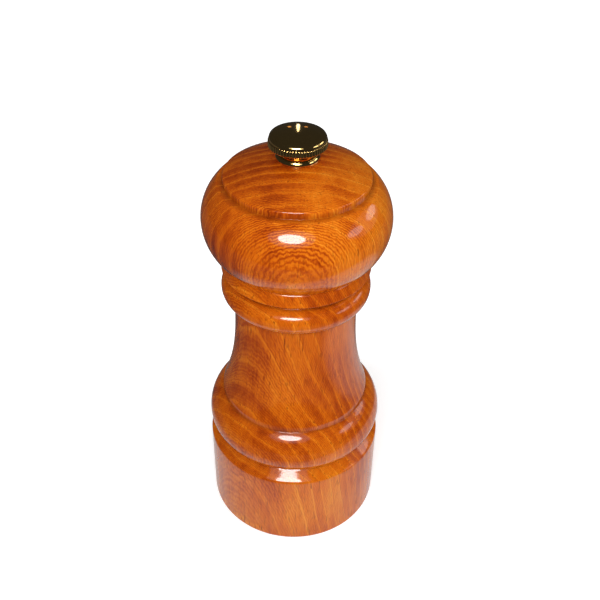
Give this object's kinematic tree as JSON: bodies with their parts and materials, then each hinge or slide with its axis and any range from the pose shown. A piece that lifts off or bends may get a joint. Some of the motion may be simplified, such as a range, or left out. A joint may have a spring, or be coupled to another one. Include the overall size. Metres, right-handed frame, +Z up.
{
  "type": "pepper mill",
  "caption": "Turned wooden pepper mill with a rounded head that turns a steel burr, a brass knob on top that sets the grind, and a hollow body for peppercorns.",
  "frame": {"origin": "centre of the foot, on the surface that the mill stands on", "axes": "+Z up along the axis of turning; +X along the retaining bar across the foot"},
  "size_m": [0.058, 0.058, 0.1417],
  "materials": {
    "lacquered_wood": "clear gloss lacquer over orange-brown ring-porous wood",
    "polished_brass": "polished, straight knurled band",
    "shaft_steel": "drawn square bar",
    "burr_steel": "hardened, dull grey",
    "pressed_steel": "pressed sheet, plated",
    "spring_steel": "drawn wire",
    "screw_steel": "plated"
  },
  "bodies": {
    "mill_body": {"wooden_body": "lacquered_wood", "stator_burr": "burr_steel", "stator_bridge": "pressed_steel", "bridge_rivets": "screw_steel", "retaining_bar": "pressed_steel", "retaining_bar_screws": "screw_steel"},
    "spring_set": {"spring": "spring_steel", "upper_spring_washer": "pressed_steel"},
    "spindle": {"drive_shaft": "shaft_steel", "rotor_burr": "burr_steel", "rotor_washer": "pressed_steel", "shaft_clip": "spring_steel", "lower_spring_washer": "pressed_steel"},
    "head": {"wooden_head": "lacquered_wood", "drive_plate": "pressed_steel", "drive_plate_screws": "screw_steel"},
    "knob": {"adjusting_knob": "polished_brass"}
  },
  "joints": [
    {"name": "grind_turn", "type": "hinge", "parent": "mill_body", "child": "spring_set", "pos_m": [0, 0, 0], "axis": [0, 0, 1], "continuous": true},
    {"name": "grind_adjust", "type": "slide", "parent": "spring_set", "child": "spindle", "axis": [0, 0, 1], "range_m": [-0.0008, 0.0006], "deforming": ["spring"]},
    {"name": "head_lift", "type": "slide", "parent": "spring_set", "child": "head", "axis": [0, 0, 1], "range_m": [0, 0.06]},
    {"name": "knob_turn", "type": "hinge", "parent": "head", "child": "knob", "pos_m": [0, 0, 0.13315], "axis": [0, 0, 1], "range_deg": [-270, 360]}
  ],
  "couplings": [
    {"joint": "knob_turn", "follows": "grind_adjust", "rad_per_m": -7854}
  ]
}
